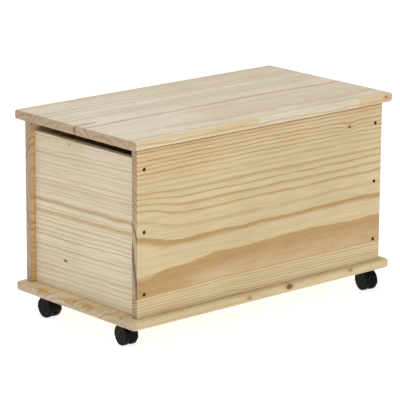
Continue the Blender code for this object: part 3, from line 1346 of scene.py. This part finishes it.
@dataclass
class Casters:
    """Four twin-wheel casters, each modelled about its king pin with its trail along +Y.

    Attributes:
        trail: How far the axle lies behind the king pin.
        wheel_radius: Radius of the wheels, and height of the axle.
        wheel_inner: Where a wheel's inner face lies along the axle.
        wheel_outer: Where its outer face lies.
        axle: Radius of the axle and half its length.
        hood_radius: Outer radius of the hood.
        well_radius: Radius of the wheel wells in it.
        hood_half: Half the hood's width.
        web_half: Half the thickness of the web between the wheels.
        skirt: Height at which the hood ends.
        socket: Radius, lowest and highest point of the king pin's socket.
        pin: Radius of the king pin and its lowest point.
        collar: Radius of the king pin's collar, its bottom and its top.
        neck: Radius of the neck riveted in the plate, and its top.
        plate: Half the plate's width, its bottom and its top.
        hole: How far the plate's holes lie from its middle.
        screw: The screw that holds the plate.
        turns: How many degrees each caster stands turned about its king pin.
    """

    trail: float = 20 * MM
    wheel_radius: float = 22 * MM
    wheel_inner: float = 4.2 * MM
    wheel_outer: float = 15.5 * MM
    axle: tuple[float, float] = (2 * MM, 12.2 * MM)
    hood_radius: float = 24 * MM
    well_radius: float = 22.8 * MM
    hood_half: float = 14.8 * MM
    web_half: float = 3.5 * MM
    skirt: float = 16.6 * MM
    socket: tuple[float, float, float] = (7.5 * MM, 31 * MM, 46.4 * MM)
    pin: tuple[float, float] = (2 * MM, 25 * MM)
    collar: tuple[float, float, float] = (6.5 * MM, 46.7 * MM, 47.9 * MM)
    neck: tuple[float, float] = (3 * MM, 50.4 * MM)
    plate: tuple[float, float, float] = (19 * MM, 48.2 * MM, 50.7 * MM)
    hole: float = 13 * MM
    screw: ScrewModel = ScrewModel(3.2 * MM, 2.2 * MM, 1.6 * MM, 15 * MM)
    turns: tuple[tuple[str, float], ...] = (("front_left", -6.0), ("back_left", 181.0),
                                            ("front_right", 171.0), ("back_right", 12.0))

    def on_axle(self, out: float = 0.0, side: int = 1) -> Matrix:
        """From +Z at the origin to the axle, pointing to one side."""
        hub = (side * out, self.trail, self.wheel_radius)
        return aim(hub, (side, 0, 0))

    def disc(self, name: str, radius: float, half: float, ease: float = 0.0) -> bpy.types.Object:
        """A disc on the axle with rounded rims.

        Args:
            name: The object's name.
            radius: Its radius.
            half: Half its width.
            ease: Radius of its rims.

        Returns:
            The disc.
        """
        corner = [(math.sin(step * math.pi / 8), math.cos(step * math.pi / 8))
                  for step in range(5)] if ease else [(1.0, 1.0)]
        rim = [(radius - ease + ease * out, half - ease + ease * up) for out, up in corner]
        low = [(wide, -tall) for wide, tall in rim]
        made = turned(name, low + rim[::-1], 72)
        return place_in_mesh(made, self.on_axle())

    def hood(self) -> bpy.types.Object:
        """Model the hood: a thick disc cut off below, hollow for each wheel, with a socket.

        Returns:
            The hood.
        """
        made = self.disc("hood", self.hood_radius, self.hood_half, 1.6 * MM)
        only(made)
        bpy.ops.object.mode_set(mode="EDIT")
        bpy.ops.mesh.select_all(action="SELECT")
        bpy.ops.mesh.bisect(plane_co=(0, self.trail, self.skirt), plane_no=(0, 0, 1),
                            clear_inner=True, use_fill=True)
        bpy.ops.object.mode_set(mode="OBJECT")
        wide, low, high = self.socket
        round_top = [(wide - 0.9 * MM, high), (wide - 0.25 * MM, high - 0.25 * MM),
                     (wide, high - 0.9 * MM)]
        combine(made, turned("socket", [(0.7 * wide, low), (0.9 * wide, low + 2 * MM),
                                        (wide, low + 5 * MM)] + round_top[::-1], 48),
                "UNION", "MANIFOLD")
        reach = self.hood_half + 4 * MM - self.web_half
        for side in (-1, 1):
            well = turned("well", ((self.well_radius, 0), (self.well_radius, reach)), 72)
            place_in_mesh(well, self.on_axle(self.web_half, side))
            combine(made, well, solver="MANIFOLD")
        bore = self.pin[0] + 0.3 * MM
        combine(made, turned("pin_bore", ((bore, self.pin[1] - 0.3 * MM), (bore, high + MM)), 24),
                solver="MANIFOLD")
        combine(made, self.disc("axle_bore", self.axle[0] + 0.3 * MM, self.web_half + MM),
                solver="MANIFOLD")
        even_shading(made, 35)
        return made

    def wheel(self) -> bpy.types.Object:
        """Model a wheel whose outer face points up, with a raised tread and hub.

        Returns:
            The wheel.
        """
        size, low, high = self.wheel_radius, self.wheel_inner, self.wheel_outer
        drop = 0.7 * MM
        made = turned("wheel", (
            (size - 1.2 * MM, low), (size - 0.4 * MM, low + 0.35 * MM), (size, low + 1.2 * MM),
            (size, high - 2.1 * MM), (size - 0.3 * MM, high - 1.1 * MM),
            (size - 1.1 * MM, high - 0.35 * MM), (size - 2.1 * MM, high), (0.86 * size, high),
            (0.84 * size, high - 0.2 * MM), (0.82 * size, high - drop),
            (0.42 * size, high - drop), (0.4 * size, high - 0.2 * MM), (0.38 * size, high),
            (0.14 * size, high), (0.12 * size, high - 0.3 * MM)), 72)
        bore = self.axle[0] + 0.3 * MM
        combine(made, turned("bore", ((bore, low - MM), (bore, self.axle[1] + 0.3 * MM)), 24))
        even_shading(made, 30)
        return made

    def plate_model(self) -> bpy.types.Object:
        """Model the top plate with its neck hole and four countersunk holes.

        Returns:
            The plate.
        """
        half, low, high = self.plate
        made = block("plate", (-half, -half, low), (half, half, high))
        round_off(made, is_upright, 4 * MM, 6)
        round_off(made, is_level, 0.35 * MM, 2)
        wide = self.neck[0] + 0.3 * MM
        combine(made, turned("neck_hole", ((wide, low - MM), (wide, high + MM)), 32))
        tool = self.screw.countersink()
        for seat in self.seats():
            combine(made, copy_of(tool, "hole", seat))
        forget(tool)
        even_shading(made, 35)
        return made

    def seats(self) -> list[Matrix]:
        """Where the plate's four screws go."""
        return [aim((x * self.hole, y * self.hole, self.plate[1] + 0.15 * MM), (0, 0, 1))
                for x in (-1, 1) for y in (-1, 1)]

    def king_pin(self) -> bpy.types.Object:
        """Model the king pin: a stem, a collar and a riveted neck.

        Returns:
            The king pin.
        """
        thin, low = self.pin
        wide, under, over = self.collar
        neck, top = self.neck
        made = turned("king_pin", (
            (0.7 * thin, low), (thin, low + 0.5 * MM), (thin, under), (wide - 0.2 * MM, under),
            (wide, under + 0.2 * MM), (wide, over - 0.2 * MM), (wide - 0.2 * MM, over),
            (neck, over), (neck, top)), 40)
        even_shading(made, 35)
        return made

    def axle_model(self) -> bpy.types.Object:
        """Model the axle.

        Returns:
            The axle.
        """
        made = self.disc("axle", *self.axle, 0.4 * MM)
        even_shading(made, 35)
        return made

    def build(self, steel: "Metal", plastic: "Plastic") -> None:
        """Place the four casters where the record's joints have them.

        Args:
            steel: The finish of plates, pins, axles and screws.
            plastic: The finish of hoods and wheels.
        """
        zinc, black = steel.make(), plastic.make()
        wheel, screw = self.wheel(), self.screw.model()
        fixed = (("plate", self.plate_model()), ("king_pin", self.king_pin()))
        turning = (("hood", self.hood(), black, "black_plastic"),
                   ("axle", self.axle_model(), zinc, "zinc_steel"))
        for corner, turn in self.turns:
            caster = corner + "_caster"
            middle = middle_of(caster + "_king_pin")
            stand = Matrix.Translation((middle.x, middle.y, 0))
            swung = stand @ Matrix.Rotation(math.radians(turn), 4, "Z")
            for part, model in fixed:
                made = copy_of(model, f"steel_{caster}_{part}", stand)
                hand_over(made, zinc, "zinc_steel", "box", f"{caster}_{part}")
            for number, seat in enumerate(self.seats(), 1):
                made = copy_of(screw, f"steel_{caster}_screw_{number}", stand @ seat)
                hand_over(made, zinc, "zinc_steel", "box")
            for part, model, material, slot in turning:
                made = copy_of(model, f"{slot}_{caster}_{part}", swung)
                hand_over(made, material, slot, caster, f"{caster}_{part}")
            for part, side in (("wheel_a", -1), ("wheel_b", 1)):
                made = copy_of(wheel, f"plastic_{caster}_{part}", swung @ self.on_axle(0, side))
                hand_over(made, black, "black_plastic", f"{caster}_{part}", f"{caster}_{part}")
        forget(wheel, screw, *(model for _part, model in fixed), *(item[1] for item in turning))


# ---------------------------------------------------------------- the room and the camera

@dataclass
class Studio:
    """A pale floor, soft light from all round, and the camera.

    Attributes:
        lens: The camera's focal length in mm, on a sensor 36 mm wide.
        location: Where it stands.
        azimuth: Degrees that it stands round from the front.
        elevation: Degrees that it looks down by.
        roll: Degrees that it is turned about its own line of sight.
        sky: Strength of the even white sky.
        boxes: Name, place, size and power of each soft box.
        aimed_at: Where the soft boxes point.
    """

    lens: float = 221.58
    location: Point = (-3.448581, -3.889660, 1.587179)
    azimuth: float = -41.4136
    elevation: float = 14.6474
    roll: float = 0.3379
    sky: float = 0.5
    boxes: tuple[tuple[str, Point, float, float], ...] = (
        ("overhead", (-0.4, 0.3, 3.0), 2.4, 38.0), ("key", (-3.2, -2.0, 1.8), 2.2, 35.0),
        ("fill", (1.8, -3.8, 1.6), 2.2, 19.0))
    aimed_at: Point = (0.0, 0.0, 0.2)

    def floor(self) -> None:
        """A wide, evenly lit pale floor."""
        bpy.ops.object.select_all(action="DESELECT")
        bpy.ops.mesh.primitive_plane_add(size=60.0)
        floor = bpy.context.object
        floor.name = "floor"
        graph = Graph("floor_white")
        graph.set(Base_Color=(0.42, 0.42, 0.42, 1.0), Roughness=0.9, Specular_IOR_Level=0.0,
                  Emission_Color=(1.0, 1.0, 1.0, 1.0), Emission_Strength=0.8)
        floor.data.materials.append(graph.material)

    def lights(self) -> None:
        """An even white sky and three soft boxes."""
        world = bpy.data.worlds.new("studio")
        world.use_nodes = True
        background = world.node_tree.nodes["Background"].inputs
        background["Color"].default_value = (1, 1, 1, 1)
        background["Strength"].default_value = self.sky
        bpy.context.scene.world = world
        for name, place, size, power in self.boxes:
            light = bpy.data.lights.new(name, "AREA")
            light.size = size
            light.energy = power
            made = bpy.data.objects.new(name, light)
            bpy.context.scene.collection.objects.link(made)
            made.location = place
            away = Vector(place) - Vector(self.aimed_at)
            made.rotation_euler = away.to_track_quat("Z", "Y").to_euler()

    def camera(self) -> None:
        """The camera, by its place and its direction."""
        data = bpy.data.cameras.new("camera")
        data.lens = self.lens
        data.sensor_width = 36.0
        data.clip_end = 200.0
        made = bpy.data.objects.new("camera", data)
        bpy.context.scene.collection.objects.link(made)
        turn, rise = math.radians(self.azimuth), math.radians(self.elevation)
        back = Vector((math.sin(turn) * math.cos(rise), -math.cos(turn) * math.cos(rise),
                       math.sin(rise)))
        made.location = self.location
        made.rotation_mode = "QUATERNION"
        level = (-back).to_track_quat("-Z", "Y")
        made.rotation_quaternion = level @ Quaternion((0, 0, 1), math.radians(self.roll))
        bpy.context.scene.camera = made

    def build(self) -> None:
        """Set up the room."""
        self.floor()
        self.lights()
        self.camera()
        bpy.context.scene.view_settings.view_transform = "Standard"


def woods() -> dict[str, Pine]:
    """The wood of each board, by its CAD node.

    Returns:
        The six finishes.
    """
    wall = {"grain": Axis.X, "across": Axis.Z, "through": Axis.Y}
    end = {"grain": Axis.Y, "across": Axis.Z, "through": Axis.X}
    flat = {"grain": Axis.X, "across": Axis.Y, "through": Axis.Z}
    pale = {"early": tone(209, 196, 169), "late": tone(187, 158, 114), "flow": 3.2}
    orange = tone(176, 124, 66)
    # Painted shade: these tints darken the lid's underside, the back wall's inner face and its
    # strip beside the left end, and the front wall's top edge under the lid's front overhang.
    shade = {"lid": (0.80, 0.76, 0.70), "back": (0.80, 0.74, 0.68), "strip": (0.93, 0.82, 0.74),
             "front_under_lid": (0.72, 0.60, 0.45)}  # tints in place of shade, not marks in the wood
    return {
        "front_panel": Pine(
            "pine_front", **wall, pith=(0.116, 0.065), face=-0.185, rings=(46.0, 430.0),
            shift=0.66, quarter=155.0, uneven=0.3, wander=4 * MM, seed=2.0,
            summer=0.58, contrast=1.2,
            knots=(Knot((0.252, 0, 0.388), Axis.Y, 2.4 * MM, 24 * MM, 4 * MM),
                   Knot((-0.370, 0, 0.150), Axis.Y, 0.0, 160 * MM, 4.5 * MM),
                   Knot((-0.370, 0, 0.275), Axis.Y, 0.0, 100 * MM, -13 * MM),
                   Knot((-0.100, 0, 0.090), Axis.Y, 0.0, 45 * MM, -7 * MM)),
            # Painted shade along the front wall's top edge, under the lid's front overhang.
            patches=(Patch((-0.4, -0.2, 0.4255), (0.4, -0.18, 0.44), 3 * MM,
                           shade["front_under_lid"], 1.0),
                     Patch((-0.4, -0.2, 0.37), (-0.17, -0.18, 0.44), 40 * MM,
                           (0.99, 0.93, 0.83), 0.5))),
        "back_panel": Pine(
            "pine_back", **wall, pith=(0.30, 0.03), face=0.185, rings=(90.0, 420.0),
            drift=0.03, seed=31.0,
            knots=(Knot((-0.14, 0, 0.21), Axis.Y, 5.0 * MM, 34 * MM, 6 * MM),),
            # Painted shade on the back wall's inner face and on its strip beside the left end.
            patches=(Patch((-0.36, 0.16, 0.07), (-0.338, 0.1695, 0.43), 1 * MM,
                           shade["strip"], 1.0),
                     Patch((-0.325, 0.16, 0.06), (0.325, 0.17, 0.44), 1 * MM,
                           shade["back"], 1.0))),
        "left_end_panel": Pine(
            "pine_left_end", **end, **pale, pith=(-0.25, -0.089), face=-0.339, seed=5.0,
            drift=-0.03, summer=0.42, uneven=0.9, wander=4 * MM, contrast=1.0,
            knots=(Knot((0, 0.066, 0.139), Axis.X, 2.6 * MM, 14 * MM, 2 * MM),
                   Knot((0, -0.100, 0.258), Axis.X, 0.0, 26 * MM, 4 * MM),
                   Knot((0, 0.050, 0.395), Axis.X, 1.2 * MM, 14 * MM, 2 * MM, orange)),
            streaks=(Streak(0.2625, -0.032, 3.6 * MM, tone(178, 146, 110), 0.8),)),
        "right_end_panel": Pine(
            "pine_right_end", **end, **pale, pith=(0.62, 0.12), face=0.339, seed=17.0,
            drift=0.03, summer=0.5, uneven=0.9,
            knots=(Knot((0, -0.05, 0.30), Axis.X, 3.0 * MM, 24 * MM, 4 * MM),)),
        "base_board": Pine(
            "pine_base", **flat, pith=(0.0, 0.0), face=0.071, rings=(90.0, 0.0), seed=11.0,
            stave=0.08, wander=5 * MM, end_early=tone(188, 168, 138), end_late=tone(142, 115, 88),
            patches=tuple(Patch((-0.38, middle - 0.014, 0.0645), (-0.362, middle + 0.014, 0.08),
                                6 * MM, (0.92, 0.74, 0.48), 1.0)
                          for middle in (0.108, 0.012, -0.045)),
            knots=(Knot((0.065, 0, 0.064), Axis.Y, 4.6 * MM, 30 * MM, 6 * MM),
                   Knot((0.250, 0, 0.066), Axis.Y, 2.6 * MM, 24 * MM, 5 * MM, orange),
                   Knot((-0.052, 0, 0.062), Axis.Y, 3.0 * MM, 24 * MM, 4 * MM, orange))),
        "lid": Pine(
            "pine_lid", **flat, pith=(0.0, 0.37), face=0.450, rings=(72.0, 0.0), seed=13.0,
            stave=0.0667, wander=5.5 * MM, flow=4.2, uneven=0.8, contrast=1.3, summer=0.42,
            early=tone(213, 200, 175), late=tone(190, 156, 106), gloss=0.48,
            end_early=tone(174, 149, 119), end_late=tone(144, 118, 90),
            knots=(Knot((-0.350, -0.008, 0), Axis.Z, 0.0, 30 * MM, 7 * MM),
                   Knot((0.348, 0, 0.443), Axis.Y, 2.6 * MM, 12 * MM, 2 * MM, orange)),
            patches=(Patch((0.267, -0.21, 0.42), (0.38, -0.193, 0.46), 1 * MM,
                           (0.93, 0.84, 0.66), 1.0),
                     Patch((-0.36, -0.21, 0.436), (-0.03, -0.194, 0.46), 2 * MM,
                           (0.98, 0.90, 0.70), 1.0),
                     Patch((-0.372, -0.0105, 0.43), (-0.318, -0.0075, 0.46), 4 * MM,
                           (0.55, 0.44, 0.36), 0.9),
                     Patch((-0.40, -0.05, 0.43), (-0.10, 0.21, 0.46), 90 * MM,
                           (1.02, 1.045, 1.09), 1.0),
                     # Painted shade on the lid's underside.
                     Patch((-0.40, -0.21, 0.42), (0.40, 0.21, 0.4305), 2 * MM,
                           shade["lid"], 1.0))),
    }


def main() -> None:
    """Build every piece."""
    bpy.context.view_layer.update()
    Studio().build()
    screws = BoxScrews()
    bronze = Metal("dark_bronze", tone(66, 58, 46), tone(44, 38, 32), 0.4)
    zinc = Metal("zinc_plate", tone(190, 191, 188), tone(172, 173, 170), 0.34)
    Boards().build(woods(), screws)
    screws.build(bronze)
    Hinges().build(zinc)
    Bumpers().build(Rubber("clear_rubber", tone(214, 212, 204)))
    Casters().build(zinc, Plastic("black_plastic", (0.004, 0.0038, 0.0035), 0.42, 0.3, 0.08))


if __name__ == "__main__":
    main()
